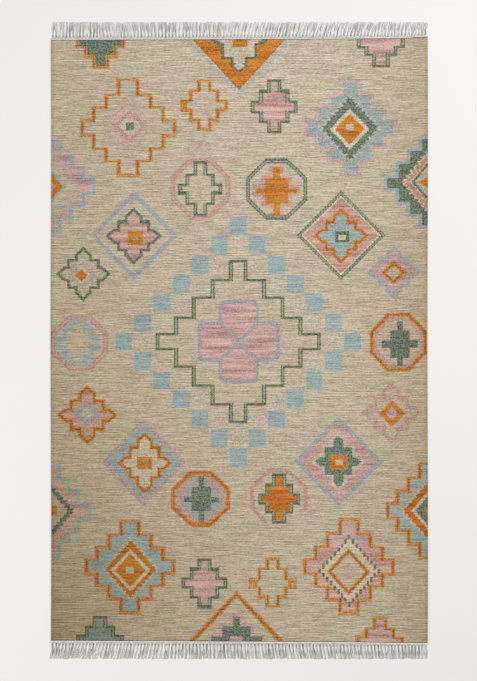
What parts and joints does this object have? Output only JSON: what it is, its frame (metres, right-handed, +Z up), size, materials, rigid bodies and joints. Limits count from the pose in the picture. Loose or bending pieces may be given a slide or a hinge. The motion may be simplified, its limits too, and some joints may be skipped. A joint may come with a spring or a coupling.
{
  "type": "flatweave rug",
  "caption": "Rectangular flatweave rug lying flat, with stepped, star and lozenge figures on a heathered ground and a knotted cotton fringe along each short end.",
  "frame": {"origin": "on the floor, under the middle of the whole rug with its fringe", "axes": "+X across the rug, +Y along it towards its far end, +Z up out of its face"},
  "size_m": [1.5294, 2.582, 0.005],
  "materials": {
    "wool_flatweave": "matt hand-spun wool weft over cotton warp, heathered beige with coloured figures",
    "cotton_fringe": "matt unbleached cotton warp ends, knotted in bundles and trimmed"
  },
  "bodies": {
    "root": {"rug_body": "wool_flatweave", "fringe_far": "cotton_fringe", "fringe_near": "cotton_fringe"}
  },
  "joints": []
}
